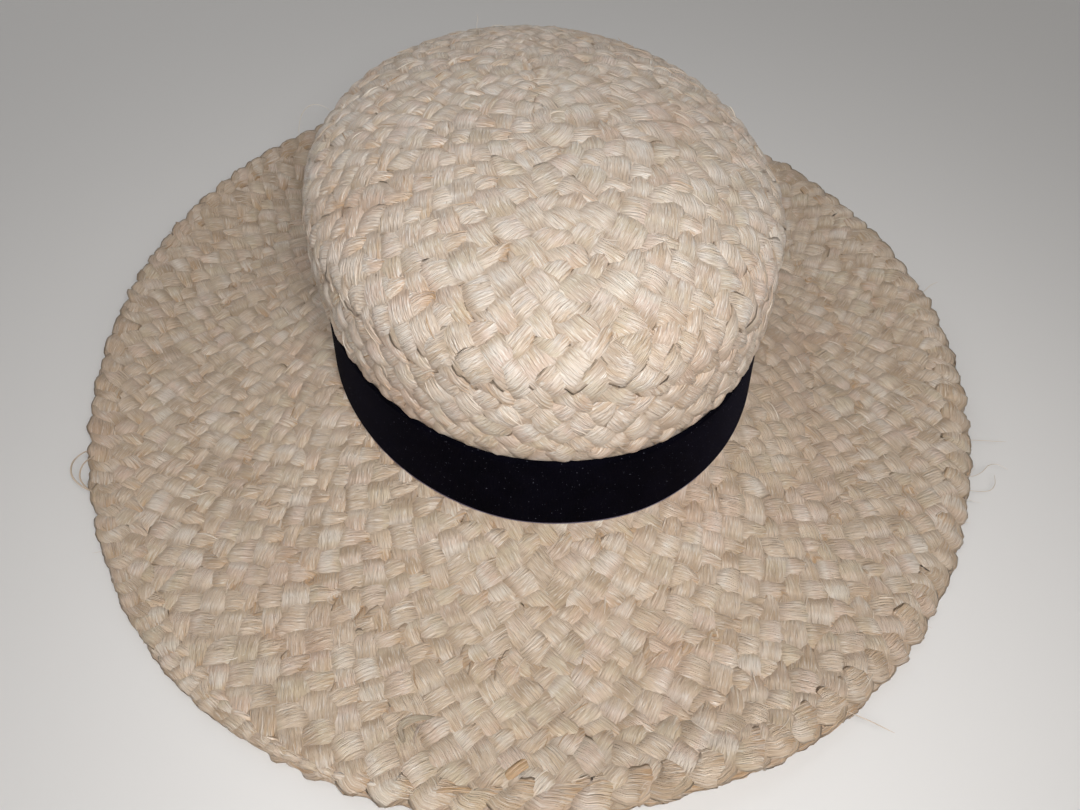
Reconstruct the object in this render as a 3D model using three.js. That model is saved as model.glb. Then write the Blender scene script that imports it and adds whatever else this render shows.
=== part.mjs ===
// A wide-brim summer hat, sewn from one long plait of raffia, with a velvet
// ribbon round the foot of its crown.
//
// Millimetres, +Z up. The hat stands on the underside of its brim at Z = 0,
// with the middle of its bounding box on the Z axis. -Y is the wearer's front,
// and the head is longer along Y than along X.

import * as THREE from 'three';

// ---- Driving dimensions ----

const wall = 2.6;               // two layers of plaited raffia
const gap = 0.3;                // clearance between neighbouring pieces
const segments = 72;            // facets round the hat

// The head: a circle of this mean radius at the crown's foot, made oval by
// taking ovalGap off the half width and adding it to the half length. The
// crown grows longer still towards its shoulder.
const footRadius = 91.7;
const ovalGap = 8.8;
const shoulderOvalGap = 10.6;

const footHeight = 13;          // the brim's top face under the crown
const crownHeight = 105;        // floor to the top of the dome
const crownLean = 12;           // how far back the dome's top lies
const domeExponent = 2.05;      // 2 is an ellipse, more is squarer
const domeRows = 13;

const ribbonWidth = 30;
const ribbonThickness = 1;
const drawnRadius = 92.0;       // the crown at the ribbon's top edge

const brimWidth = 89.9;         // from the ribbon's face to the edge, on average
const seatWidth = 4;            // level ring that the crown and ribbon stand on

// The crown's outer side, from its foot up. The ribbon draws the straw in,
// and the straw swells out above it.
const crownSide = [
  { height: footHeight + gap, radius: footRadius },
  { height: footHeight + gap + ribbonWidth, radius: drawnRadius },
  { height: 45.2, radius: 93.2 },
  { height: 48.3, radius: 94.3 },
  { height: 53.5, radius: 95.1 },
  { height: 63, radius: 95.8 },
  { height: 76, radius: 96.1 },
];

// The brim's underside from the crown outwards: how far out, as a share of
// the width, how high above the floor, and how much of the edge's own lift
// that ring takes. The two level rows are what the hat rests on.
const brimRows = [
  { out: 0.00, height: footHeight - wall, lift: 0 },
  { out: 0.10, height: 7.3, lift: 0 },
  { out: 0.22, height: 3.5, lift: 0 },
  { out: 0.34, height: 1.0, lift: 0 },
  { out: 0.46, height: 0.0, lift: 0 },
  { out: 0.64, height: 0.0, lift: 0 },
  { out: 0.76, height: 0.0, lift: 0.22 },
  { out: 0.88, height: 0.0, lift: 0.58 },
  { out: 1.00, height: 0.0, lift: 1 },
];

// The brim's edge round the hat, a row every 45 degrees from +X towards +Y:
// the brim's width there, and how far the edge curls up from the floor.
const brimEdge = [
  { width: 86.9, lift: 8.8 },     // right
  { width: 89.5, lift: 10.0 },
  { width: 88.7, lift: 15.8 },    // back
  { width: 88.6, lift: 15.2 },
  { width: 90.9, lift: 9.7 },     // left
  { width: 99.3, lift: 0.6 },
  { width: 89.9, lift: 9.8 },     // front
  { width: 85.5, lift: 0.6 },
];

// ---- The hat's form ----

// A smooth closed curve through one column of the edge table.
function roundTheEdge(column, bearing) {
  const count = brimEdge.length;
  const place = ((bearing / (2 * Math.PI) + 1) * count) % count;
  const row = Math.floor(place);
  const t = place - row;
  const [before, here, next, after] = [-1, 0, 1, 2].map(
    (step) => brimEdge[(row + step + count) % count][column],
  );
  const rise = next - before;
  const fall = after - here;
  return here + t * (rise / 2 + t * (3 * (next - here) - rise - fall / 2
    + t * (2 * (here - next) + (rise + fall) / 2)));
}

// Turns a round lathed form into the oval, leaning, wavy one. edgeLift gives
// the share of the edge's lift that a vertex takes, from how far out it is.
function shapeHat(geometry, edgeLift = () => 0) {
  geometry.rotateX(Math.PI / 2);
  const position = geometry.getAttribute('position');
  const outer = footRadius + gap + ribbonThickness;
  const shoulderHeight = crownSide.at(-1).height;
  for (let i = 0; i < position.count; i += 1) {
    const x = position.getX(i);
    const y = position.getY(i);
    const z = position.getZ(i);
    const radius = Math.hypot(x, y);
    const bearing = Math.atan2(y, x);
    const risen = THREE.MathUtils.clamp((z - footHeight) / (shoulderHeight - footHeight), 0, 1);
    const oval = THREE.MathUtils.lerp(ovalGap, shoulderOvalGap, risen)
      / Math.max(radius, footRadius);
    const out = Math.max(0, radius - outer) / brimWidth;
    const wider = out * (roundTheEdge('width', bearing) - brimWidth);
    const stretched = radius > 0 ? 1 + wider / radius : 1;
    const lean = crownLean * Math.max(0, z - footHeight) / (crownHeight - footHeight);
    position.setXYZ(
      i,
      x * (stretched - oval),
      y * (stretched + oval) + lean,
      z + roundTheEdge('lift', bearing) * edgeLift(out),
    );
  }
  geometry.computeVertexNormals();
  return geometry;
}

function lathe(points) {
  return new THREE.LatheGeometry([...points, points[0]], segments);
}

// ---- Pieces ----

const straw = new THREE.MeshStandardMaterial({ color: 0xd8c3a0, roughness: 0.75, metalness: 0 });
const velvet = new THREE.MeshStandardMaterial({ color: 0x0b0a12, roughness: 0.95, metalness: 0 });

// The crown's skin at a distance inside its outer face, from the foot to the
// top of the dome.
function crownSkin(inside) {
  const side = crownSide.map(({ height, radius }) => new THREE.Vector2(radius - inside, height));
  const shoulder = crownSide.at(-1);
  const dome = [];
  for (let row = 1; row <= domeRows; row += 1) {
    const angle = (row / domeRows) * (Math.PI / 2);
    const across = Math.cos(angle) ** (2 / domeExponent);
    const up = Math.sin(angle) ** (2 / domeExponent);
    dome.push(new THREE.Vector2(
      row === domeRows ? 0 : (shoulder.radius - inside) * across,
      shoulder.height + (crownHeight - inside - shoulder.height) * up,
    ));
  }
  return [...side, ...dome];
}

// The domed crown, open below where the head goes in.
function makeCrown() {
  const geometry = shapeHat(lathe([...crownSkin(0), ...crownSkin(wall).reverse()]));
  return new THREE.Mesh(geometry, straw);
}

// The brim: a sheet with the head's hole in it. It has a level seat for the
// crown, slopes down to the floor, lies level there and curls up at its edge.
function makeBrim() {
  const outer = footRadius + gap + ribbonThickness;
  const seat = footRadius + seatWidth;
  const radiusOf = (out) => Math.max(seat, outer + out * brimWidth);
  const under = brimRows.map((row) => new THREE.Vector2(radiusOf(row.out), row.height));
  const over = under.map(({ x, y }) => new THREE.Vector2(x, y + wall)).reverse();
  const hole = footRadius - wall;
  const holeUnder = new THREE.Vector2(hole, footHeight - wall);
  const holeOver = new THREE.Vector2(hole, footHeight);
  // Every vertex lies on a row of the table, so the nearest row is its own.
  const edgeLift = (out) => brimRows.reduce((near, row) => (
    Math.abs(row.out - out) < Math.abs(near.out - out) ? row : near)).lift;
  const geometry = shapeHat(lathe([holeUnder, ...under, ...over, holeOver]), edgeLift);
  return new THREE.Mesh(geometry, straw);
}

// The velvet ribbon, a closed loop that stands on the brim and is drawn in
// round the crown.
function makeHatband() {
  const low = footHeight + gap;
  const high = low + ribbonWidth;
  const geometry = shapeHat(lathe([
    new THREE.Vector2(footRadius + gap, low),
    new THREE.Vector2(footRadius + gap + ribbonThickness, low),
    new THREE.Vector2(drawnRadius + gap + ribbonThickness, high),
    new THREE.Vector2(drawnRadius + gap, high),
  ]));
  return new THREE.Mesh(geometry, velvet);
}

// ---- Assembly ----

const hat = new THREE.Group();
for (const [name, piece] of Object.entries({
  crown: makeCrown(),
  brim: makeBrim(),
  hatband: makeHatband(),
})) {
  piece.name = name;
  hat.add(piece);
}

// The middle of the hat's box goes on the Z axis.
const middle = new THREE.Box3().setFromObject(hat, true).getCenter(new THREE.Vector3());
hat.position.set(-middle.x, -middle.y, 0);

export default hat;
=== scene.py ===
"""A wide-brim raffia hat: one long plait sewn into a crown and brim, and a velvet ribbon."""
import math

import bpy
import numpy as np
from mathutils import Matrix, Vector


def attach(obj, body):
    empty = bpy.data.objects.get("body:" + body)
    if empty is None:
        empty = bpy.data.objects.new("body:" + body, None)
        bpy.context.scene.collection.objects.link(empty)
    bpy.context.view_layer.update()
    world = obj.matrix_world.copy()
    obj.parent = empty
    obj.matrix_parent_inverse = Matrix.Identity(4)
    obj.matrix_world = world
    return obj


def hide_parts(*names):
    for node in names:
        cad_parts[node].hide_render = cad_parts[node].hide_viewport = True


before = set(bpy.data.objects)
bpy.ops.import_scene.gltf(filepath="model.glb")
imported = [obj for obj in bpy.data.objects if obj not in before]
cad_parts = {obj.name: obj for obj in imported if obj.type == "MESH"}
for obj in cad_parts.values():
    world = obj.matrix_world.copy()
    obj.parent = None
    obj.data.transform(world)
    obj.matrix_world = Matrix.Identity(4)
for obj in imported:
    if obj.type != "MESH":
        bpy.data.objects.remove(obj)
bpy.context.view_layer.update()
mm = 0.001

# ---- The camera ----
# It looks down on the hat's front from a little to the left, with a wide lens held close.

view_turn = math.radians(11.2)
view_tilt = math.radians(47.5)
view_roll = math.radians(-1.9)
view_distance = 373 * mm
view_drop = 30.4 * mm
view_shift = 0.9 * mm
film_width = 36
lens_length = 29.63
head_axis = Vector((1.987, 0.677, 0)) * mm
aim_height = 8 * mm
aim = head_axis + Vector((0, 0, aim_height))

level_right = Vector((math.cos(view_turn), -math.sin(view_turn), 0))
level_ahead = Vector((math.sin(view_turn), math.cos(view_turn), 0))
ahead = level_ahead * math.cos(view_tilt) - Vector((0, 0, math.sin(view_tilt)))
above = level_ahead * math.sin(view_tilt) + Vector((0, 0, math.cos(view_tilt)))
right = level_right * math.cos(view_roll) - above * math.sin(view_roll)
up = level_right * math.sin(view_roll) + above * math.cos(view_roll)

camera_data = bpy.data.cameras.new("camera")
camera_data.sensor_width = film_width
camera_data.lens = lens_length
camera = bpy.data.objects.new("camera", camera_data)
bpy.context.scene.collection.objects.link(camera)
camera_place = aim + level_right * view_shift - above * view_drop - ahead * view_distance
camera.matrix_world = Matrix.Translation(camera_place) @ Matrix((right, up, -ahead)).transposed().to_4x4()
bpy.context.scene.camera = camera

# ---- The hat's form ----
# The straw wall that the plait lies in: a domed oval crown that leans back a little, drawn in
# by the ribbon at its foot, and a wide brim that dips to the floor and curls up at its edge.

wall = 2.6 * mm
foot_height = 13 * mm
foot_radius = 91.7 * mm
oval_gap = 8.8 * mm
shoulder_oval_gap = 10.6 * mm
shoulder_height = 76 * mm
shoulder_radius = 96.1 * mm
crown_height = 105 * mm
crown_lean = 12 * mm
dome_exponent = 2.05
ribbon_width = 30 * mm
brim_start = 93 * mm
brim_width = 89.9 * mm

# The wall's line: its steps, how far its corners are rounded, the points on the dome, and how
# far the brim is drawn in under the crown.
outline_step = 0.5 * mm
line_step = 0.25 * mm
line_softening = 8
dome_points = 200
turn_in = 1 * mm

# The crown's outer side below its shoulder: height and radius.
crown_side = np.array([
    (63.0, 95.8),
    (53.5, 95.1),
    (48.3, 94.3),
    (45.2, 93.2),
    (43.3, 92.0),
    (13.3, 91.7),
]) * mm

# The brim from the crown outwards: share of the width, height of the underside in mm, and
# how much of the edge's own lift that ring takes.
brim_rows = np.array([
    (0.00, 10.4, 0.00),
    (0.10, 7.3, 0.00),
    (0.22, 3.5, 0.00),
    (0.34, 1.0, 0.00),
    (0.46, 0.0, 0.00),
    (0.64, 0.0, 0.00),
    (0.76, 0.0, 0.22),
    (0.88, 0.0, 0.58),
    (1.00, 0.0, 1.00),
])

# The brim's edge, a row every 45 degrees from the right towards the back: width and lift.
brim_edge = np.array([
    (86.9, 8.8),
    (89.5, 10.0),
    (88.7, 15.8),
    (88.6, 15.2),
    (90.9, 9.7),
    (99.3, 0.6),
    (89.9, 9.8),
    (85.5, 0.6),
]) * mm


def ease(share):
    """0 to 1 with level ends."""
    share = np.clip(share, 0, 1)
    return share * share * (3 - 2 * share)


def evenly(points, step):
    """The same line through points, with a point every step."""
    reach = np.r_[0, np.cumsum(np.hypot(*np.diff(points, axis=0).T))]
    places = np.linspace(0, reach[-1], int(reach[-1] / step) + 1)
    return np.column_stack([np.interp(places, reach, points[:, i]) for i in range(2)])


def softener(spread, reach):
    """The weights of a soft average over so many points to each side."""
    weights = np.exp(-0.5 * (np.arange(-reach, reach + 1) / spread) ** 2)
    return weights / weights.sum()


def wall_line():
    """Radius and height of the wall's middle from the top of the dome to the brim's edge."""
    turn = np.linspace(math.pi / 2, 0, dome_points)
    radius = shoulder_radius * np.cos(turn) ** (2 / dome_exponent)
    rise = (crown_height - shoulder_height) * np.sin(turn) ** (2 / dome_exponent)
    dome = np.column_stack([radius, shoulder_height + rise])
    outside = evenly(np.vstack([dome, crown_side[:, ::-1]]), outline_step)
    along = np.gradient(outside, axis=0)
    along /= np.hypot(*along.T)[:, None]
    crown = outside - np.column_stack([-along[:, 1], along[:, 0]]) * wall / 2
    crown[0, 0] = 0
    brim = np.column_stack([
        brim_start - turn_in + brim_rows[:, 0] * brim_width,
        brim_rows[:, 1] * mm + wall / 2,
    ])
    line = evenly(np.vstack([crown, brim]), line_step)
    reach = 2 * line_softening
    weights = softener(line_softening, reach)
    before = line[reach:0:-1] * (-1, 1)
    after = line[-1] + np.arange(1, reach + 1)[:, None] * (line[-1] - line[-2])
    padded = np.vstack([before, line, after])
    soft = np.column_stack([np.convolve(padded[:, i], weights, "valid") for i in range(2)])
    return evenly(soft, line_step)


line = wall_line()
line_run = np.r_[0, np.cumsum(np.hypot(*np.diff(line, axis=0).T))]
edge_run = line_run[-1]


def round_the_edge(column, bearing):
    """A smooth closed curve through one column of the edge table."""
    values = brim_edge[:, column]
    count = len(values)
    place = (bearing / (2 * math.pi) * count) % count
    row = np.floor(place).astype(int)
    t = place - row
    p0, p1, p2, p3 = (values[(row + i) % count] for i in (-1, 0, 1, 2))
    rising = (p2 - p0) * t
    curving = (2 * p0 - 5 * p1 + 4 * p2 - p3) * t ** 2
    turning = (3 * p1 - p0 - 3 * p2 + p3) * t ** 3
    return 0.5 * (2 * p1 + rising + curving + turning)


# The plait starts along a straight seam on top of the dome, so the rows near it are long ovals.
start_half = 17 * mm
start_back = 13 * mm
start_reach = 100 * mm
start_roundness = 0.93
dome_end = 85 * mm
dome_blend = 25 * mm
dome_share = 1 - shoulder_oval_gap / foot_radius
dome_stretch = 1 + shoulder_oval_gap / foot_radius
steep_share = 0.985
steep = int(np.argmax(line[:, 0] > steep_share * shoulder_radius - wall / 2))


def wall_point(run, bearing):
    """The wall's middle at a distance run down the hat from its start, in a direction."""
    radius = np.interp(run, line_run, line[:, 0])
    height = np.interp(run, line_run, line[:, 1])
    cos, sin = np.cos(bearing), np.sin(bearing)

    fade = ease(run / start_reach)
    longer = start_half * (1 - fade) + (dome_stretch - dome_share) * radius * fade
    pointed = np.arcsin(start_roundness * sin) / math.asin(start_roundness)
    top_x = radius * dome_share * cos
    top_y = radius * dome_share * sin + longer * ((1 - fade) * pointed + fade * sin)
    top_y = top_y + start_back * (1 - fade)
    top_radius = np.hypot(top_x / dome_share, top_y / dome_stretch)
    top_height = np.interp(top_radius, line[:steep, 0], line[:steep, 1])

    side = ease((run - dome_end) / dome_blend)
    z = top_height * (1 - side) + height * side
    risen = np.clip((z - foot_height) / (shoulder_height - foot_height), 0, 1)
    oval = (oval_gap + (shoulder_oval_gap - oval_gap) * risen) / np.maximum(radius, foot_radius)
    out = np.maximum(0, radius - brim_start) / brim_width
    wider = out * (round_the_edge(0, bearing) - brim_width)
    stretch = 1 + wider / np.maximum(radius, foot_radius)
    x = top_x * (1 - side) + radius * cos * (stretch - oval) * side
    y = top_y * (1 - side) + radius * sin * (stretch + oval) * side
    y = y + crown_lean * np.maximum(0, z - foot_height) / (crown_height - foot_height)
    z = z + round_the_edge(1, bearing) * np.interp(out, brim_rows[:, 0], brim_rows[:, 2])
    return np.stack([x + head_axis.x, y + head_axis.y, z], -1)


def unit(vectors):
    """The same vectors, one long."""
    return vectors / np.maximum(np.linalg.norm(vectors, axis=-1, keepdims=True), 1e-12)


feeler = 0.5 * mm
feeler_turn = 0.004


def wall_down(run, bearing):
    """A short way down the wall."""
    return wall_point(run + feeler, bearing) - wall_point(run - feeler, bearing)


def wall_outward(run, bearing):
    """The wall's outward direction."""
    round_it = wall_point(run, bearing + feeler_turn) - wall_point(run, bearing - feeler_turn)
    return unit(np.cross(wall_down(run, bearing), round_it))


# ---- The plait ----
# One flat plait of five raffia bundles, 7.5 m long, in rows about 20 mm apart with their edges
# lapped. It starts at a straight seam on top of the crown and winds out to its tapered end at
# the brim's edge. Each bundle goes over one and under one, and folds back at the plait's edges.

strands = 5
last_turn = 12.44
foot_turn = 7.25

# Where the outer seam of the plait lies after so many turns from the back: its run in mm.
seam_rows = np.array([
    (-1.30, 0),
    (-0.30, 0),
    (-0.15, 4),
    (0.00, 13),
    (0.10, 20),
    (0.25, 23.5),
    (0.50, 26),
    (0.75, 31),
    (1.00, 38),
    (1.25, 43.5),
    (1.50, 48.5),
    (1.70, 57),
    (2.00, 61.5),
    (2.25, 66),
    (2.50, 71),
    (2.70, 78),
    (3.00, 82),
    (3.50, 90.5),
    (4.00, 101),
    (4.50, 110),
    (5.50, 129.5),
    (6.50, 151),
    (7.50, 174.5),
    (8.25, 189),
    (8.50, 197),
    (8.75, 200),
    (9.25, 206.5),
    (9.48, 217.5),
    (9.75, 220),
    (10.25, 225.5),
    (10.48, 238.5),
    (10.75, 241.5),
    (11.28, 244),
    (11.45, 260.5),
    (12.60, 260.5),
])
seam_softening = 12
seam_reach = 3 * seam_softening
seam_turns = np.arange(-1.2, 12.6, 0.0025)
seam_runs = np.interp(seam_turns, seam_rows[:, 0], seam_rows[:, 1]) * mm
seam_runs = np.pad(seam_runs, seam_reach, mode="edge")
seam_runs = np.convolve(seam_runs, softener(seam_softening, seam_reach), "valid")
seam_runs = np.minimum(seam_runs, edge_run)


def wander(rng, along, wavelength):
    """A smooth random line, about one high, for what varies along the plait."""
    total = np.zeros_like(along)
    for _ in range(4):
        pace = 2 * math.pi / (wavelength * rng.uniform(0.6, 1.7))
        total += np.sin(along * pace + rng.uniform(0, 2 * math.pi))
    return total / 2


# The seam is sewn by eye, so it wanders, but not at its start or in its last round.
seam_stray = 0.5 * mm
seam_wavelength = 0.09
last_loose_turn = 11
seam_wander = wander(np.random.default_rng(5), seam_turns, seam_wavelength) * seam_stray
seam_runs += seam_wander * ease(seam_turns) * ease(last_loose_turn - seam_turns)

# After so many turns, how far apart the folds along the plait's edge are, in mm, and how much
# that varies.
folds_apart = np.array([(0, 12.2), (4, 12.0), (7, 11.2), (12.5, 10.6)])
phase_stray = 0.018
phase_wavelength = 45 * mm

# How a bundle runs: how far past the seam it reaches, how sharply it folds back, how steep its
# straight sides are, how much of its share of the plait it covers, its thickness, how high it
# swings over its neighbour, the share of a side that it takes to cross one, and how far its
# edges drape down over what it covers.
edge_reach = 1.22
fold_sharpness = 0.975
side_steepness = 4.43
strand_cover = 1.50
strand_thickness = 2.2 * mm
weave_depth = 0.96 * mm
crossing = 0.2
edge_draping = 1.08

# The folds: narrower and thicker than the sides, so long a share of a side, and rolled over. In
# the last round nothing covers the outer ones: they keep nearly their full width and stay this
# far inside the brim's edge. No bundle comes nearer than the start margin to the crown's top.
fold_narrowing = 0.70
fold_thickening = 0.25
fold_length = 0.18
fold_roll = math.radians(24)
free_narrowing = 0.10
free_margin = 3.2 * mm
start_margin = 0.2 * mm
free_from = last_turn - 1.05
free_onset = 0.1

# The rows: pressed in at their seams, which drag the bundles' edges down, crowned between them,
# and each lying a little over the next, less so where a row is narrow.
seam_depth = 0.62 * mm
seam_tightness = 5
seam_draping = 0.50 * mm
row_crowning = 0.45 * mm
shingle = 0.08 * mm
full_row = 18 * mm

# Under the ribbon the plait is pressed in and its weave flattened, fading out past its edges.
pressed = 0.75 * mm
flattened = 0.45
ribbon_fade = 4 * mm
ribbon_lead = 0.9

# A bundle that covers less than its full width is thinner too, down to a least share.
full_bundle = 5 * mm
thinnest = 0.3

# How a bundle varies along its length: how much, and over what length.
sideways_stray = (0.5 * mm, 17 * mm)
swing_stray = (0.15, 23 * mm)
height_stray = (0.1 * mm, 31 * mm)
roll_stray = (math.radians(8), 11 * mm)
width_stray = (0.10, 22 * mm)
frayed_width = (0.035, 3.5 * mm)

# The points on a bundle: on each side, crowded towards the folds, with none this near an end.
steps_a_side = 28
fold_crowding = 0.25
end_phase = 0.004

# The finish: how steeply a seam's wear falls off, and how far apart two bundles' grain is.
seam_falloff = 3
grain_offset = 0.613


def seam_at(turn):
    """The run of the plait's outer seam after so many turns."""
    return np.interp(turn, seam_turns, seam_runs)


def bearing_at(turn):
    """The direction of the plait after so many turns: it starts at the back and goes left."""
    return math.pi / 2 + 2 * math.pi * turn


way_points = 6000
way = np.linspace(0, last_turn, way_points)
way_inner, way_outer = seam_at(way - 1), seam_at(way)
way_middle = wall_point((way_inner + way_outer) / 2, bearing_at(way))
way_length = np.r_[0, np.cumsum(np.linalg.norm(np.diff(way_middle, axis=0), axis=1))]
way_width = (
    np.linalg.norm(way_middle - wall_point(way_inner, bearing_at(way)), axis=1)
    + np.linalg.norm(way_middle - wall_point(way_outer, bearing_at(way)), axis=1)
)
way_pitch = np.interp(way, folds_apart[:, 0], folds_apart[:, 1]) * mm * strands
way_phase = np.r_[0, np.cumsum(np.diff(way_length) / way_pitch[1:])]
way_phase += wander(np.random.default_rng(8), way_length, phase_wavelength) * phase_stray


def swing_at(side_share):
    """How a bundle rides at a share of its side: 1 over a neighbour, -1 under one, 0 at a fold."""
    after_fold = np.cos(math.pi * (side_share + crossing) / (2 * crossing))
    crossings = -np.cos(math.pi * (side_share - crossing) / crossing)
    before_fold = np.cos(math.pi * (side_share - (1 - crossing)) / (2 * crossing))
    swing = np.where(side_share > 1 - crossing, before_fold, crossings)
    return np.where(side_share < crossing, after_fold, swing)


def strand(number, start_turn, end_turn):
    """The middle line of one bundle between two turns, with its half width, half thickness
    and what its finish needs, as a dict of arrays."""
    rng = np.random.default_rng(100 + number)
    start, end = np.interp([start_turn, end_turn], way, way_phase) + number / strands
    sides = np.arange(math.floor(start * 2), math.ceil(end * 2))
    share = np.arange(steps_a_side) / steps_a_side
    share = share - fold_crowding * np.sin(2 * math.pi * share) / (2 * math.pi)
    phase = ((sides[:, None] + share) / 2).ravel()
    between_ends = (phase > start + end_phase) & (phase < end - end_phase)
    phase = np.r_[start, phase[between_ends], end]
    turn = np.interp(phase - number / strands, way_phase, way)

    side_share = (phase * 2) % 1
    across = np.arcsin(fold_sharpness * np.cos(2 * math.pi * phase)) / math.asin(fold_sharpness)
    inner, outer = seam_at(turn - 1), seam_at(turn)
    width = np.interp(turn, way, way_width)
    pitch = np.interp(turn, way, way_pitch)
    length = np.interp(turn, way, way_length)

    def stray(sway):
        amount, wavelength = sway
        return amount * wander(rng, length, wavelength)

    slope = side_steepness * edge_reach * width / 2 / pitch
    full = strand_cover * pitch / strands * slope / np.sqrt(1 + slope ** 2)

    from_fold = np.minimum(side_share, 1 - side_share) / fold_length
    fold = np.exp(-from_fold ** 2)
    swing = swing_at(side_share)
    run = (inner + outer) / 2 + across * edge_reach * (outer - inner) / 2 + stray(sideways_stray)
    free = ease((turn - free_from) / free_onset) * (across > 0)
    run = np.clip(run, start_margin, edge_run - free_margin)
    bearing = bearing_at(turn)
    outward = wall_outward(run, bearing)
    lift = swing * weave_depth * (1 + stray(swing_stray))
    lift = lift - shingle * across * np.clip(width / full_row, 0, 1)
    lift = lift + row_crowning * (1 - across ** 2)
    lift = lift - seam_depth * np.abs(across) ** seam_tightness * (1 - free)
    lift = lift + stray(height_stray)
    middle = wall_point(run, bearing)
    above_foot = middle[:, 2] - foot_height
    past_bottom = ease(above_foot / ribbon_fade + ribbon_lead)
    before_top = ease((ribbon_width - above_foot) / ribbon_fade + ribbon_lead)
    under_ribbon = past_bottom * before_top
    lift = lift * (1 - flattened * under_ribbon) - pressed * under_ribbon
    spine = middle + outward * lift[:, None]

    ahead_way = unit(np.gradient(spine, axis=0))
    down = unit(wall_down(run, bearing))
    roll = fold_roll * fold * np.sign(across) + stray(roll_stray)
    rise = outward * np.cos(roll)[:, None] + down * np.sin(roll)[:, None]
    rise = unit(rise - ahead_way * np.sum(rise * ahead_way, axis=1, keepdims=True))
    sideways = np.cross(ahead_way, rise)
    narrowing = fold_narrowing + (free_narrowing - fold_narrowing) * free
    half_width = full / 2 * (1 - narrowing * fold) * (1 + stray(width_stray))
    half_width = half_width * (1 + stray(frayed_width))
    fullness = np.clip(full / full_bundle, thinnest, 1)
    half_thick = strand_thickness / 2 * (1 + fold_thickening * fold) * fullness
    edge_drape = -edge_draping * weave_depth * swing - seam_draping * across ** 2

    # A bundle that would reach below the floor is lifted onto it.
    reach_down = np.maximum(
        np.hypot(rise[:, 2] * half_thick, sideways[:, 2] * half_width),
        np.abs(sideways[:, 2]) * half_width - rise[:, 2] * edge_drape,
    )
    spine[:, 2] += np.maximum(0, reach_down - spine[:, 2])
    travelled = np.r_[0, np.cumsum(np.linalg.norm(np.diff(spine, axis=0), axis=1))]
    return {
        "spine": spine,
        "sideways": sideways * half_width[:, None],
        "rise": rise * half_thick[:, None],
        "drape": rise * edge_drape[:, None],
        "swing": swing,
        "along": travelled + number * grain_offset,
        "breadth": half_width,
        "seam": np.abs(across) ** seam_falloff,
        "turn": turn,
    }


class Socket:
    """A node's output that takes part in Python sums: each operator adds a Math node."""

    def __init__(self, nodes, socket):
        self.nodes = nodes
        self.socket = socket

    def join(self, operation, first, second):
        return self.nodes.add("ShaderNodeMath", {"operation": operation}, {0: first, 1: second})

    def __add__(self, other):
        return self.join("ADD", self, other)

    def __radd__(self, other):
        return self.join("ADD", other, self)

    def __sub__(self, other):
        return self.join("SUBTRACT", self, other)

    def __rsub__(self, other):
        return self.join("SUBTRACT", other, self)

    def __mul__(self, other):
        return self.join("MULTIPLY", self, other)

    def __rmul__(self, other):
        return self.join("MULTIPLY", other, self)

    def __pow__(self, other):
        return self.join("POWER", self, other)

    def __rpow__(self, other):
        return self.join("POWER", other, self)


class Nodes:
    """A node tree that is written as Python calls."""

    def __init__(self, tree):
        self.tree = tree
        tree.nodes.clear()

    def add(self, kind, settings=None, inputs=None, output=0):
        """One node: its settings, then the values or links of its inputs. Returns an output."""
        node = self.tree.nodes.new(kind)
        for name, value in (settings or {}).items():
            if name == "stops":
                for stop, (position, color) in zip(node.color_ramp.elements, value):
                    stop.position = position
                    stop.color = color
            else:
                setattr(node, name, value)
        for name, value in (inputs or {}).items():
            if isinstance(value, Socket):
                self.tree.links.new(value.socket, node.inputs[name])
            else:
                node.inputs[name].default_value = value
        if not node.outputs:
            return node
        return Socket(self, node.outputs[output])

    def math(self, operation, value):
        """A Math node of one value."""
        return self.add("ShaderNodeMath", {"operation": operation}, {0: value})

    def part(self, vector, axis):
        """One part of a vector: 0, 1 or 2."""
        return self.add("ShaderNodeSeparateXYZ", inputs={0: vector}, output=axis)

    def number(self, name):
        """A number that the mesh holds at each point."""
        return self.add("ShaderNodeAttribute", {"attribute_name": name}, output=2)

    def object_place(self):
        """The place on the hat, in metres."""
        return self.add("ShaderNodeTexCoord", output=3)

    def between(self, value, low, high):
        """0 at one value and 1 at another, with a soft step between them."""
        return self.add("ShaderNodeMapRange", {"interpolation_type": "SMOOTHSTEP"}, {
            "Value": value, "From Min": low, "From Max": high,
        })

    def mixed(self, factor, first, second):
        """One colour over another, as much as the factor says."""
        return self.add("ShaderNodeMix", {"data_type": "RGBA"}, {
            0: factor, 6: first, 7: second,
        }, output=2)

    def grains(self, place, scale, detail):
        """Noise of one size at a place."""
        return self.add("ShaderNodeTexNoise", inputs={
            "Vector": place, "Scale": scale, "Detail": detail,
        })


def new_geometry_tree(name, inputs):
    """A geometry tree with the named inputs after its geometry, and its group input's outputs."""
    tree = bpy.data.node_groups.new(name, "GeometryNodeTree")
    tree.interface.new_socket("Geometry", in_out="OUTPUT", socket_type="NodeSocketGeometry")
    tree.interface.new_socket("Geometry", in_out="INPUT", socket_type="NodeSocketGeometry")
    for label, kind in inputs.items():
        tree.interface.new_socket(label, in_out="INPUT", socket_type=kind)
    nodes = Nodes(tree)
    entry = nodes.add("NodeGroupInput").socket.node
    given = {socket.name: Socket(nodes, socket) for socket in entry.outputs if socket.name}
    return tree, nodes, given


def finish_tree(nodes, geometry, material):
    """Ends a geometry tree with realized instances and its material."""
    geometry = nodes.add("GeometryNodeRealizeInstances", inputs={"Geometry": geometry})
    geometry = nodes.add("GeometryNodeSetMaterial", inputs={"Geometry": geometry, "Material": material})
    nodes.add("NodeGroupOutput", inputs={"Geometry": geometry})


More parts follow.
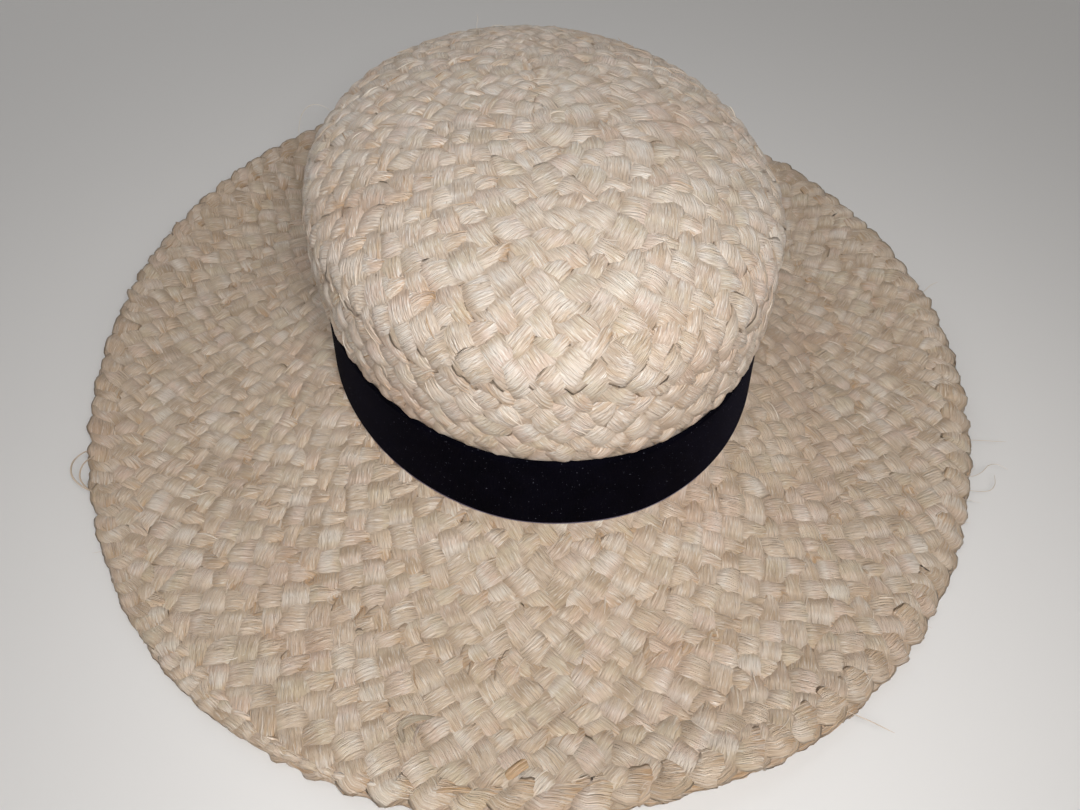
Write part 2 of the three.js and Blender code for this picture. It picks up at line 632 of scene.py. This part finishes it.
def lines_mesh(name, lines):
    """A mesh of open lines: each is a dict of arrays, of which spine is the points."""
    mesh = bpy.data.meshes.new(name)
    counts = [len(item["spine"]) for item in lines]
    starts = np.r_[0, np.cumsum(counts)]
    edges = np.vstack([
        np.column_stack([np.arange(a, b - 1), np.arange(a + 1, b)])
        for a, b in zip(starts[:-1], starts[1:])
    ])
    mesh.vertices.add(starts[-1])
    mesh.edges.add(len(edges))
    mesh.vertices.foreach_set("co", np.vstack([item["spine"] for item in lines]).ravel())
    mesh.edges.foreach_set("vertices", edges.ravel())
    for key in lines[0]:
        values = np.concatenate([item[key] for item in lines])
        kind, field = ("FLOAT_VECTOR", "vector") if values.ndim == 2 else ("FLOAT", "value")
        attribute = mesh.attributes.new(key, kind, "POINT")
        attribute.data.foreach_set(field, values.astype(np.float32).ravel())
    mesh.update()
    return mesh


def grow(name, lines, tree, values, spent=()):
    """The plain mesh object that a geometry tree makes of open lines. It keeps only what its
    finish reads: what laid out the section goes, and so does what else is spent."""
    mesh = lines_mesh(name, lines)
    seed = bpy.data.objects.new(name + "_lines", mesh)
    bpy.context.scene.collection.objects.link(seed)
    modifier = seed.modifiers.new("grow", "NODES")
    modifier.node_group = tree
    for item in tree.interface.items_tree:
        if item.in_out == "INPUT" and item.name in values:
            modifier[item.identifier] = values[item.name]
    bpy.context.view_layer.update()
    evaluated = seed.evaluated_get(bpy.context.evaluated_depsgraph_get())
    grown = bpy.data.meshes.new_from_object(evaluated)
    grown.name = name
    for key in ("spine", "sideways", "rise", "drape", *spent):
        grown.attributes.remove(grown.attributes[key])
    seed.modifiers.remove(modifier)
    bpy.data.objects.remove(seed)
    bpy.data.meshes.remove(mesh)
    piece = bpy.data.objects.new(name, grown)
    bpy.context.scene.collection.objects.link(piece)
    return piece


def sweep_tree():
    """Sweeps a round section along each line, then lays it out to the line's own half width
    and half thickness, so that it is a flat closed bundle. That turns its faces inwards, so
    they are flipped."""
    tree, nodes, given = new_geometry_tree(
        "raffia_bundles",
        {
            "Section Points": "NodeSocketInt",
            "Edge Thinning": "NodeSocketFloat",
            "Material": "NodeSocketMaterial",
        },
    )
    vector = {"data_type": "FLOAT_VECTOR"}
    position = nodes.add("GeometryNodeInputPosition")
    section = nodes.add("GeometryNodeCurvePrimitiveCircle", inputs={
        "Resolution": given["Section Points"], "Radius": 1.0,
    })
    section = nodes.add("GeometryNodeStoreNamedAttribute", {**vector, "domain": "POINT"}, {
        "Geometry": section, "Name": "section", "Value": position,
    })
    curves = nodes.add("GeometryNodeMeshToCurve", inputs={"Mesh": given["Geometry"]})
    swept = nodes.add("GeometryNodeCurveToMesh", inputs={
        "Curve": curves, "Profile Curve": section, "Fill Caps": True,
    })

    def held(name):
        return nodes.add("GeometryNodeInputNamedAttribute", vector, {"Name": name})

    x = nodes.part(held("section"), 0)
    y = nodes.part(held("section"), 1)
    thinned = y * nodes.math("ABSOLUTE", y) ** given["Edge Thinning"]
    laid = held("spine")
    for name, amount in (("sideways", x), ("rise", thinned), ("drape", x * x)):
        step = nodes.add("ShaderNodeVectorMath", {"operation": "SCALE"}, {
            0: held(name), "Scale": amount,
        })
        laid = nodes.add("ShaderNodeVectorMath", {"operation": "ADD"}, {0: laid, 1: step})
    swept = nodes.add("GeometryNodeSetPosition", inputs={"Geometry": swept, "Position": laid})
    swept = nodes.add("GeometryNodeFlipFaces", inputs={"Mesh": swept})
    swept = nodes.add("GeometryNodeSetShadeSmooth", inputs={"Geometry": swept, "Shade Smooth": True})
    finish_tree(nodes, swept, given["Material"])
    return tree


def new_material(name):
    """A material and its empty node tree."""
    material = bpy.data.materials.new(name)
    material.use_nodes = True
    return material, Nodes(material.node_tree)


def raffia():
    """Cream raffia: each bundle is a few flat strips of fine fibre with a low satin shine, paler
    and cooler here, warmer there, with tan streaks where the fibre was bruised. Painted shade
    darkens it in its grooves, at its rims and where it dives under a neighbour, painted
    highlights lighten it in pale glints, and it is paler on the crown."""
    material, nodes = new_material("raffia")
    between = nodes.between
    side = nodes.part(nodes.add("ShaderNodeAttribute", {"attribute_name": "section"}, output=1), 0)
    along = nodes.number("along")
    seam = nodes.number("seam")
    swing = nodes.number("swing")
    breadth = nodes.number("breadth")
    x = side * breadth * 1000
    y = along * 1000

    def noise(across, length, seed, detail=2.0):
        spot = nodes.add("ShaderNodeCombineXYZ", inputs={0: across, 1: length, 2: seed})
        return nodes.add("ShaderNodeTexNoise", inputs={
            "Vector": spot, "Scale": 1.0, "Detail": detail, "Roughness": 0.6,
        })

    # The strips: about 2 mm wide, wandering along the bundle, each of its own tone.
    strip_drift = noise(0.0, y * 0.06, 5.0, 1.0) * 3.4 + noise(x * 0.5, y * 0.2, 8.0, 1.0) * 1.6
    strip_number = nodes.math("FLOOR", x * 0.5 + strip_drift)
    strip_tone = noise(strip_number * 7.31, y * 0.05, 3.0, 0.0)
    strip_hue = noise(strip_number * 5.17, y * 0.04, 33.0, 0.0)
    cell_tone = noise(0.0, y * 0.13, 71.0, 0.0)
    cell_hue = noise(0.0, y * 0.11, 93.0, 0.0)

    # The fibres: hair-fine lines that run along the bundle and drift a little across it.
    drift = noise(0.0, y * 0.22, 21.0, 1.0) * 0.9
    fine = noise((x + drift) * 3.2, y * 0.09, 13.0, 3.0)
    middling = noise((x - drift) * 1.9, y * 0.07, 17.0, 3.0)
    hair = noise((x + drift) * 2.8, y * 0.05, 61.0, 1.0)
    glint = noise((x - drift) * 2.6, y * 0.28, 67.0, 1.0)
    coarse = noise(x * 0.8, y * 0.06, 11.0, 2.0)
    crease = noise(x * 0.7, y * 0.34, 51.0, 3.0)
    bruise = noise(x * 1.6, y * 0.06, 41.0, 2.0)
    # Painted shade: the colour darkens towards each bundle's two rims.
    rim_painted_shade = nodes.math("ABSOLUTE", side) ** 6

    # The ribs: regular fine ridges with narrow grooves between them, some deeper than others.
    def grooves(pace, drifting, seed, breadth_share):
        place_across = x * pace + noise(0.0, y * 0.11, seed, 2.0) * drifting
        tooth = nodes.add("ShaderNodeMath", {"operation": "PINGPONG"}, {0: place_across, 1: 0.5})
        deep = noise(nodes.math("ROUND", place_across) * 3.7, y * 0.16, seed + 3.0, 1.0)
        return between(tooth, breadth_share, 0.0) * between(deep, 0.30, 0.62)

    wide_grooves = grooves(0.9, 2.6, 81.0, 0.21)
    fine_grooves = grooves(1.8, 3.4, 91.0, 0.28)

    # Broad changes over the whole hat.
    place = nodes.object_place()
    on_crown = between(nodes.part(place, 2), 25 * mm, 70 * mm)
    blotch = nodes.grains(place, 14.0, 2.0)
    blush = nodes.grains(place, 26.0, 3.0)

    warm = nodes.mixed(on_crown, (0.60, 0.48, 0.36, 1), (0.68, 0.57, 0.46, 1))
    pale = nodes.mixed(on_crown, (0.80, 0.67, 0.54, 1), (0.86, 0.78, 0.70, 1))
    color = nodes.mixed(between(strip_tone, 0.3, 0.7) * 0.62 + 0.19, warm, pale)

    # Each layer over the one before: how much of it, and its colour.
    # Painted shade: darker where a bundle swings down to dive under its neighbour.
    dive_painted_shade = between(swing, 0.75, 0.0)
    tan = between(bruise, 0.43, 0.60) * (0.04 + seam * 0.9)
    layers = [
        (between(strip_hue, 0.55, 0.72) * (0.2 + on_crown * 0.4), (0.74, 0.70, 0.66)),
        (between(strip_hue, 0.45, 0.28) * 0.35, (0.62, 0.46, 0.29)),
        (between(cell_hue, 0.54, 0.68) * 0.45, (0.74, 0.57, 0.49)),
        (between(cell_hue, 0.46, 0.32) * 0.40, (0.60, 0.53, 0.37)),
        (between(cell_tone, 0.50, 0.25) * (0.8 - on_crown * 0.35), (0.44, 0.33, 0.23)),
        (between(cell_tone, 0.55, 0.70) * 0.5, (0.86, 0.81, 0.74)),
        (between(blotch, 0.5, 0.7) * 0.4, (0.58, 0.42, 0.29)),
        (between(blush, 0.55, 0.72) * 0.4, (0.68, 0.46, 0.36)),
        (between(middling, 0.50, 0.68) * 0.22, (0.46, 0.33, 0.22)),
        (between(fine, 0.52, 0.68) * 0.30, (0.40, 0.28, 0.19)),
        # Painted shade: the grooves darken the colour here; the bump also sinks them.
        (wide_grooves * (0.24 + on_crown * 0.18), (0.46, 0.30, 0.20)),
        (fine_grooves * 0.30, (0.50, 0.35, 0.24)),
        (between(hair, 0.66, 0.71) * 0.55, (0.32, 0.20, 0.12)),
        # Painted highlight: pale glints along the fibres, where the roughness is lowered too.
        (between(glint, 0.56, 0.66) * (0.45 + on_crown * 0.2), (0.95, 0.92, 0.87)),
        # Painted shade at the bundles' rims.
        (rim_painted_shade * 0.62, (0.42, 0.30, 0.19)),
        # Painted shade where a bundle dives under its neighbour.
        (dive_painted_shade * 0.42, (0.38, 0.27, 0.18)),
        (tan, (0.50, 0.32, 0.18)),
        (between(seam, 1.0, 1.8) * 0.75, (0.56, 0.35, 0.17)),      # amber, on loose strips only
        (between(seam, -0.2, -1.0) * 0.65, (0.33, 0.28, 0.19)),    # olive, on loose strips only
    ]
    for amount, tint in layers:
        color = nodes.mixed(amount, color, (*tint, 1))

    fibres_height = fine * 1.0 + middling * 0.8 + coarse * 0.3 + crease * 0.5
    bump = nodes.add("ShaderNodeBump", inputs={
        "Strength": 1.0,
        "Distance": 0.72 * mm,
        "Height": fibres_height - wide_grooves * 0.26 - fine_grooves * 0.14,
    })
    shader = nodes.add("ShaderNodeBsdfPrincipled", inputs={
        "Base Color": color,
        "Roughness": 0.44 - between(glint, 0.54, 0.64) * 0.22,
        "Specular IOR Level": 0.5,
        "Sheen Weight": 0.1,
        "Normal": bump,
    })
    nodes.add("ShaderNodeOutputMaterial", inputs={"Surface": shader})
    return material


raffia_finish = raffia()
bundles = sweep_tree()
bundle_values = {"Section Points": 10, "Edge Thinning": 0.35, "Material": raffia_finish}


def plait_piece(name, start_turn, end_turn, node):
    """The five bundles of the plait between two turns, as one piece that stands for a node."""
    lines = [strand(number, start_turn, end_turn) for number in range(strands)]
    piece = grow(name, lines, bundles, bundle_values, spent=("turn",))
    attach(piece, "root")
    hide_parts(node)
    return piece


crown_turns = (0.0, 3.3, 5.4, foot_turn)
crown_names = ("crown_plait_top", "crown_plait_shoulder", "crown_plait_side")
for name, start_turn, end_turn in zip(crown_names, crown_turns[:-1], crown_turns[1:]):
    plait_piece(name, start_turn, end_turn, "crown")

brim_turns = (foot_turn, 9.25, 10.9, last_turn)
brim_names = ("brim_plait_inner", "brim_plait_middle", "brim_plait_outer")
for name, start_turn, end_turn in zip(brim_names, brim_turns[:-1], brim_turns[1:]):
    plait_piece(name, start_turn, end_turn, "brim")

# ---- The velvet ribbon ----
# A black velvet ribbon, 30 mm wide, drawn tight round the foot of the crown. Its pile is short
# and dark, its two edges are woven flat, and its end laps over its start at the back.

ribbon_gap = 0.3 * mm
ribbon_bottom = foot_height + ribbon_gap
lap_length = 20 * mm
lap_rise = 1.1 * mm
lap_ramp = 5 * mm
ribbon_step = 2 * mm
loop_steps = 720
ribbon_middle = 0.5 * mm
seated_height = 0.5 * mm

# How its face ripples and its edges sag: how much, and over what length.
ripple_stray = (0.10 * mm, 55 * mm)
sag_stray = (0.12 * mm, 70 * mm)

# Half of the ribbon's section, from its bottom edge to its middle: height and thickness.
ribbon_section = np.array([
    (0.00, 0.32),
    (0.10, 0.46),
    (0.95, 0.50),
    (1.15, 0.80),
    (1.45, 0.97),
    (2.00, 1.00),
    (5.00, 1.00),
    (9.00, 1.00),
    (15.0, 1.00),
]) * mm


def ribbon_point(bearing, height, out):
    """A point on the ribbon: a height above its bottom edge, and a distance off its back."""
    z = ribbon_bottom + height
    radius = np.interp(z, crown_side[::-1, 0], crown_side[::-1, 1]) + ribbon_gap + out
    risen = (z - foot_height) / (shoulder_height - foot_height)
    oval = (oval_gap + (shoulder_oval_gap - oval_gap) * risen) / foot_radius
    x = radius * np.cos(bearing) * (1 - oval)
    y = radius * np.sin(bearing) * (1 + oval)
    y = y + crown_lean * np.maximum(0, z - foot_height) / (crown_height - foot_height)
    return np.stack([x + head_axis.x, y + head_axis.y, z + 0 * bearing], -1)


loop_bearings = np.linspace(0, 2 * math.pi, loop_steps + 1)
loop_points = ribbon_point(loop_bearings, ribbon_width / 2, ribbon_middle)
ribbon_round = float(np.sum(np.linalg.norm(np.diff(loop_points, axis=0), axis=1)))
ribbon_length = ribbon_round + lap_length
lap_turn = 2 * math.pi * lap_length / ribbon_round
lap_bearing = math.pi / 2
ribbon_bearings = np.linspace(
    lap_bearing - lap_turn / 2,
    lap_bearing + 2 * math.pi + lap_turn / 2,
    int(ribbon_length / ribbon_step),
)

outer_half = np.vstack([ribbon_section, (ribbon_section * (-1, 1) + (ribbon_width, 0))[-2::-1]])
inner_half = np.column_stack([outer_half[::-1, 0], 0 * outer_half[:, 0]])
ring = np.vstack([outer_half, inner_half])

ribbon_along = np.linspace(0, ribbon_length, len(ribbon_bearings))
lap_start = ribbon_length - lap_length
raised = lap_rise * ease((ribbon_along - lap_start + lap_ramp) / lap_ramp)
ribbon_rng = np.random.default_rng(17)
ripple = ripple_stray[0] * wander(ribbon_rng, ribbon_along, ripple_stray[1])
sag = sag_stray[0] * wander(ribbon_rng, ribbon_along, sag_stray[1])

# Its lowest edge is seated on the brim, so it doesn't sag.
rows = [
    ribbon_point(ribbon_bearings, height + sag * (height > seated_height), out + raised + ripple)
    for height, out in ring
]
ribbon_points = np.stack(rows, 1)
steps, around = ribbon_points.shape[:2]
corner = np.arange(steps * around).reshape(steps, around)
ahead_corner = np.roll(corner, -1, axis=1)
ribbon_faces = np.stack([corner[:-1], corner[1:], ahead_corner[1:], ahead_corner[:-1]], -1)
ribbon_ends = [corner[0].tolist(), corner[-1, ::-1].tolist()]
ribbon_mesh = bpy.data.meshes.new("velvet_ribbon")
ribbon_mesh.from_pydata(
    ribbon_points.reshape(-1, 3).tolist(),
    [],
    ribbon_faces.reshape(-1, 4).tolist() + ribbon_ends,
)
for key, values in (("high", np.tile(ring[:, 0], steps)), ("along", np.repeat(ribbon_along, around))):
    attribute = ribbon_mesh.attributes.new(key, "FLOAT", "POINT")
    attribute.data.foreach_set("value", values.astype(np.float32))
ribbon_mesh.polygons.foreach_set("use_smooth", [True] * len(ribbon_mesh.polygons))
ribbon_mesh.update()


def velvet():
    """Black velvet: a short pile with a faint rib and a blue bloom, flat selvages, some lint."""
    material, nodes = new_material("black_velvet")
    high = nodes.number("high") * 1000
    along = nodes.number("along") * 1000
    place = nodes.object_place()
    selvage_and_painted_reflection = nodes.between(high, 0.75, 0.45)
    rib = nodes.math("SINE", along * (2 * math.pi / 0.55))
    pile = nodes.grains(place, 2600.0, 3.0)
    brushed = nodes.between(nodes.grains(place, 90.0, 2.0), 0.35, 0.7)
    lint = nodes.between(nodes.grains(place, 1500.0, 1.0), 0.735, 0.765)
    color = nodes.mixed(brushed, (0.0005, 0.0004, 0.0016, 1), (0.0013, 0.0011, 0.0034, 1))
    color = nodes.mixed(nodes.between(pile, 0.4, 0.75) * 0.5, color, (0.004, 0.004, 0.008, 1))
    color = nodes.mixed(lint * 0.3, color, (0.25, 0.25, 0.32, 1))
    # The bottom selvage is a real flat edge with lower roughness; its lighter purple-blue colour is
    # partly a painted reflection.
    color = nodes.mixed(selvage_and_painted_reflection * 0.85, color, (0.30, 0.28, 0.42, 1))
    bump = nodes.add("ShaderNodeBump", inputs={
        "Strength": 0.6, "Distance": 0.25 * mm, "Height": pile * 0.8 + rib * (1 - selvage_and_painted_reflection) * 0.25,
    })
    shader = nodes.add("ShaderNodeBsdfPrincipled", inputs={
        "Base Color": color,
        "Roughness": 0.85 - selvage_and_painted_reflection * 0.35,
        "Specular IOR Level": 0.03,
        "Sheen Weight": 0.012,
        "Sheen Roughness": 0.35,
        "Sheen Tint": (0.45, 0.45, 1.0, 1),
        "Normal": bump,
    })
    nodes.add("ShaderNodeOutputMaterial", inputs={"Surface": shader})
    return material


ribbon_mesh.materials.append(velvet())
ribbon = bpy.data.objects.new("velvet_ribbon", ribbon_mesh)
bpy.context.scene.collection.objects.link(ribbon)
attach(ribbon, "root")
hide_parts("hatband")

# ---- Loose fibres and strips ----
# Raffia splits as it dries: hair-thin fibres peel off the bundles all over the hat, more of them
# near the seams, and a few stand off it as loops and wisps. A few whole strips are loose too.

# A fibre's points, length and radius, how far it stays off its bundle, peels off it and strays
# from it, how many starts away from a seam are kept, the least swing of the bundle where one
# starts, and how much its ends taper.
fibre_points = 7
fibre_length = (3.5 * mm, 11 * mm)
fibre_radius = (0.08 * mm, 0.24 * mm)
fibre_clearance = 0.05 * mm
peel_height = 0.45 * mm
peel_stray = 0.5 * mm
off_seam_share = 0.35
least_swing = -0.2
end_taper = 0.7
whole_strands = [strand(number, 0, last_turn) for number in range(strands)]


def hair_along(points, outward, radius, tone, flatness=1.0):
    """A fibre through a row of points, as the arrays that the sweep needs."""
    ahead_way = unit(np.gradient(points, axis=0))
    rise = unit(outward - ahead_way * np.sum(outward * ahead_way, axis=1, keepdims=True))
    share = np.linspace(-1, 1, len(points))
    taper = (1 - end_taper * np.abs(share) ** 3)[:, None]
    travelled = np.r_[0, np.cumsum(np.linalg.norm(np.diff(points, axis=0), axis=1))]
    return {
        "spine": points,
        "sideways": np.cross(ahead_way, rise) * radius * taper,
        "rise": rise * radius * taper * flatness,
        "drape": rise * 0,
        "along": travelled + tone,
        "tone": np.full(len(points), tone),
    }


def peeled_fibre(rng, start_turn, end_turn):
    """A fibre that lies on one bundle and lifts off it at one end."""
    lines = whole_strands[rng.integers(strands)]
    lengths = lines["along"]
    first, last = np.searchsorted(lines["turn"], (start_turn, end_turn))
    room = lengths[last - 1] - lengths[first] - fibre_length[1]
    while True:
        begin = lengths[first] + room * rng.uniform()
        near_seam = np.interp(begin, lengths, lines["seam"])
        wanted = rng.uniform() < off_seam_share + (1 - off_seam_share) * near_seam
        if wanted and np.interp(begin, lengths, lines["swing"]) > least_swing:
            break
    place = begin + np.linspace(0, rng.uniform(*fibre_length), fibre_points)

    def at(key):
        return np.stack([np.interp(place, lengths, lines[key][:, i]) for i in range(3)], -1)

    share = np.linspace(0, 1, fibre_points)
    u = rng.uniform(-0.9, 0.9) + rng.uniform(-0.5, 0.5) * share
    u = np.clip(u, -1, 1)[:, None]
    rise = at("rise")
    outward = unit(rise)
    peel = rng.exponential(peel_height) * share[:, None] ** 2
    stray = rng.normal(0, peel_stray) * share[:, None] ** 2
    points = at("spine") + at("sideways") * u + rise * (1 - u ** 2) ** 0.75 + at("drape") * u ** 2
    points = points + outward * (fibre_clearance + peel) + unit(at("sideways")) * stray
    tone = rng.beta(1.0, 1.6) + 0.45 * near_seam * rng.uniform()
    points = points[::rng.choice((-1, 1))]
    return hair_along(points, outward, rng.uniform(*fibre_radius), min(tone, 1))


def curve_through(knots, count):
    """Points on a smooth curve through knots."""
    knots = np.array(knots, float)
    padded = np.vstack([2 * knots[0] - knots[1], knots, 2 * knots[-1] - knots[-2]])
    place = np.linspace(0, len(knots) - 1, count)
    row = np.minimum(place.astype(int), len(knots) - 2)
    t = (place - row)[:, None]
    p0, p1, p2, p3 = (padded[row + i] for i in range(4))
    bend = (2 * p0 - 5 * p1 + 4 * p2 - p3) * t ** 2 + (3 * p1 - p0 - 3 * p2 + p3) * t ** 3
    return 0.5 * (2 * p1 + (p2 - p0) * t + bend)


def standing_fibre(run, degrees, knots, radius, tone, flatness=1.0, tilt=0.0):
    """A fibre that stands off the hat at a run and bearing. Its knots are in mm: down the hat,
    counter-clockwise round it, and out of its surface. A flat one may be tilted about its way."""
    bearing = math.radians(degrees)
    root = wall_point(run * mm, bearing)
    outward = wall_outward(run * mm, bearing)
    down = unit(root - wall_point(run * mm - 1 * mm, bearing))
    round_it = np.cross(outward, down)
    points = root + curve_through(knots, 6 * len(knots)) @ np.stack([down, round_it, outward]) * mm
    facing = unit(outward + round_it * tilt)
    return hair_along(points, np.broadcast_to(facing, points.shape), radius * mm, tone, flatness)


# The fibres that stand out most: where they start, their way, radius and tone.
long_fibres = [
    (257.5, -168.5, [(0, 0, 0), (5, 1, 1), (9, 6, 2), (9.5, 12, 2), (6, 17, 1), (0, 20, 0)], 0.30, 0.50),
    (257.5, -168.0, [(0, 0, 0), (3, 3, 2), (6, 7, 3), (7, 12, 2), (4, 17, 1), (-1, 19, 0)], 0.26, 0.60),
    (258.0, -25.5, [(0, 0, 0), (6, 0, 1), (12, 0.5, 1), (16, 1, 1)], 0.12, 0.35),
    (258.0, -31.0,
     [(0, 0, 0), (4, 0.5, 0.5), (7, 3, 1), (9, 6.5, 1.5), (12, 8, 1.5), (16, 7, 1)], 0.12, 0.35),
    (258.0, -33.0, [(0, 0, 0), (6, 0.5, 0.5), (10, 2, 1), (11.5, 5.5, 1), (11, 10, 1)], 0.12, 0.4),
    (258.0, -34.6, [(0, 0, 0), (4, 0.6, 0.4), (8, 0.8, 0.6)], 0.07, 0.0),
    (258.0, -37.2, [(0, 0, 0), (2.5, 1, 0.6), (4, 3, 1)], 0.08, 0.1),
    (258.0, -38.5, [(-1, 0, 1), (3, 2, 1), (5, 2.5, 1)], 0.09, 0.2),
    (258.0, -69.0, [(0, 0, 0), (8, 4.4, 0), (15, 8, -0.5)], 0.18, 0.55),
    (258.0, -1.0, [(0, 0, 0), (3, 1, 1), (7, 3, 1.5), (11, 4, 1)], 0.13, 0.3),
    (96.0, 154.0, [(0, 0, 0), (0, 0, 5), (3, 0, 9), (9, 0, 10), (16, 0, 8), (21, 0, 5)], 0.11, 0.0),
    (84.0, 98.5, [(0, 0, 0), (0.5, 0.5, 3), (-0.5, -0.3, 5.5), (1, -0.5, 8)], 0.10, 0.1),
    (84.0, 96.0, [(0, 0, 0), (0, -2, 1.8), (0, -5, 2.4), (0, -8, 1.6), (0, -9.5, 0)], 0.12, 0.1),
]


def stray_fibre(rng, run, degrees):
    """A short fibre that stands off the hat at a place, curling as it likes."""
    knots = [np.zeros(3)]
    heading = unit(np.array([rng.normal(0, 0.5), rng.normal(0, 1.0), rng.uniform(0.2, 1.0)]))
    stride = rng.uniform(0.8, 2.2)
    for _ in range(3):
        knots.append(knots[-1] + heading * stride)
        heading = unit(heading + rng.normal(0, 0.45, 3))
    return standing_fibre(run, degrees, knots, rng.uniform(0.05, 0.10), rng.beta(1, 3))


def raffia_fibre():
    """One split fibre: cream to tan by its tone, with a satin shine."""
    material, nodes = new_material("raffia_fibre")
    tone = nodes.number("tone")
    along = nodes.number("along") * 1000
    spot = nodes.add("ShaderNodeCombineXYZ", inputs={0: along * 0.5, 1: tone * 40})
    streak = nodes.grains(spot, 1.0, 2.0)
    color = nodes.add("ShaderNodeValToRGB", {"stops": [
        (0.0, (0.80, 0.74, 0.66, 1)),
        (1.0, (0.40, 0.25, 0.13, 1)),
    ]}, {0: tone * 0.85 + streak * 0.2})
    shader = nodes.add("ShaderNodeBsdfPrincipled", inputs={
        "Base Color": color,
        "Roughness": 0.40 + streak * 0.1,
    })
    nodes.add("ShaderNodeOutputMaterial", inputs={"Surface": shader})
    return material


fibre_values = {"Section Points": 4, "Edge Thinning": 0.0, "Material": raffia_fibre()}


def fibre_piece(name, lines):
    """Fibres joined into one piece."""
    piece = grow(name, lines, bundles, fibre_values)
    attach(piece, "root")
    return piece


def somewhere(rng, nearest, farthest):
    """A random run in mm between two, and a random bearing in degrees."""
    return rng.uniform(nearest, farthest), rng.uniform(0, 360)


# The crown's fibres. A long fibre that starts within this run, in mm, is on the crown.
crown_ends = 150
crown_rng = np.random.default_rng(41)
crown_fibres = [peeled_fibre(crown_rng, 0.2, 5.9) for _ in range(1300)]
crown_fibres += [stray_fibre(crown_rng, *somewhere(crown_rng, 5, 135)) for _ in range(70)]
crown_fibres += [standing_fibre(*row) for row in long_fibres if row[0] < crown_ends]
fibre_piece("crown_loose_fibres", crown_fibres)

# The brim's fibres, some of which stand off its very edge.
at_edge = 258
brim_rng = np.random.default_rng(43)
brim_fibres = [peeled_fibre(brim_rng, foot_turn + 0.4, last_turn) for _ in range(1700)]
brim_fibres += [stray_fibre(brim_rng, *somewhere(brim_rng, 180, 255)) for _ in range(60)]
brim_fibres += [stray_fibre(brim_rng, at_edge, brim_rng.uniform(0, 360)) for _ in range(110)]
brim_fibres += [standing_fibre(*row) for row in long_fibres if row[0] > crown_ends]
fibre_piece("brim_loose_fibres", brim_fibres)

# A few whole strips have worked loose on the brim's front left: one curls up, the others lie
# flat and have gone amber. Each row: run, bearing, knots, half width, tilt and how amber it is.
loose_strips = [
    (240.5, -114.3,
     [(5, 0.5, 1), (3, -2.5, 2.6), (0, -4, 3.3), (-3.5, -1, 3), (-6.5, 4, 1)], 1.0, 0.9, -0.8),
    (240.5, -114.3, [(5, 2, 1), (2, 1, 2.7), (-2, 1.5, 2.8), (-6, 5, 1)], 0.8, -0.8, 0.1),
    (248.5, -103.0, [(4, -4.5, 0.6), (1.5, -1.6, 2.1), (-1.5, 1.6, 2.1), (-4, 4.5, 0.6)], 1.6, 0.3, 1.6),
    (256.0, -109.0, [(1, -8, 0.6), (0, -3, 2.3), (-1, 3, 2.3), (-2, 8, 0.6)], 1.0, 0.0, 1.5),
]
strip_flatness = 0.16
strip_lines = []
for run, degrees, knots, half_width, tilt, amber in loose_strips:
    strip = standing_fibre(run, degrees, knots, half_width, 0.0, strip_flatness, tilt)
    count = len(strip["spine"])
    strip["breadth"] = np.full(count, half_width * mm)
    strip["seam"] = np.full(count, amber)
    strip["swing"] = np.ones(count)
    strip_lines.append(strip)
strips_piece = grow("brim_loose_strips", strip_lines, bundles, bundle_values, spent=("tone",))
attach(strips_piece, "root")

# ---- The floor and the light ----
# A plain pale floor in a dim even room, under four soft lamps: a close one above and behind the
# camera, with a narrowed beam so that the floor below it stays plain, and three farther off.


def plain_floor():
    """A pale matt floor with a faint grain in its gloss."""
    material, nodes = new_material("pale_floor")
    grain = nodes.grains(nodes.object_place(), 40.0, 4.0)
    shader = nodes.add("ShaderNodeBsdfPrincipled", inputs={
        "Base Color": (0.72, 0.715, 0.71, 1),
        "Roughness": 0.75 + grain * 0.1,
    })
    nodes.add("ShaderNodeOutputMaterial", inputs={"Surface": shader})
    return material


floor_half = 3.0
floor_corners = [(x * floor_half, y * floor_half, 0) for x, y in ((-1, -1), (1, -1), (1, 1), (-1, 1))]
floor_mesh = bpy.data.meshes.new("floor")
floor_mesh.from_pydata(floor_corners, [], [(0, 1, 2, 3)])
floor_mesh.materials.append(plain_floor())
floor = bpy.data.objects.new("floor", floor_mesh)
bpy.context.scene.collection.objects.link(floor)


def lamp(name, place, size, power, color, beam=180):
    """A round soft lamp that faces the hat, with the angle of its beam in degrees."""
    data = bpy.data.lights.new(name, "AREA")
    data.shape = "DISK"
    data.size = size
    data.energy = power
    data.color = color
    data.spread = math.radians(beam)
    item = bpy.data.objects.new(name, data)
    bpy.context.scene.collection.objects.link(item)
    item.location = place
    item.rotation_mode = "QUATERNION"
    item.rotation_quaternion = (aim - Vector(place)).to_track_quat("-Z", "Y")


lamp("key_lamp", (-0.02, -0.35, 0.37), 0.17, 0.97, (1.0, 0.975, 0.95), beam=125)
lamp("top_lamp", (-0.30, 0.10, 0.95), 0.4, 0.5, (0.90, 0.95, 1.0))
lamp("right_lamp", (0.95, 0.45, 0.60), 0.5, 0.8, (1.0, 0.97, 0.93))
lamp("back_lamp", (-0.50, 1.10, 0.75), 0.9, 2.6, (1.0, 0.98, 0.96))

world = bpy.data.worlds.new("room")
world.use_nodes = True
background = world.node_tree.nodes["Background"]
background.inputs["Color"].default_value = (1.0, 0.97, 0.94, 1)
background.inputs["Strength"].default_value = 0.17
bpy.context.scene.world = world
bpy.context.scene.view_settings.view_transform = "Standard"
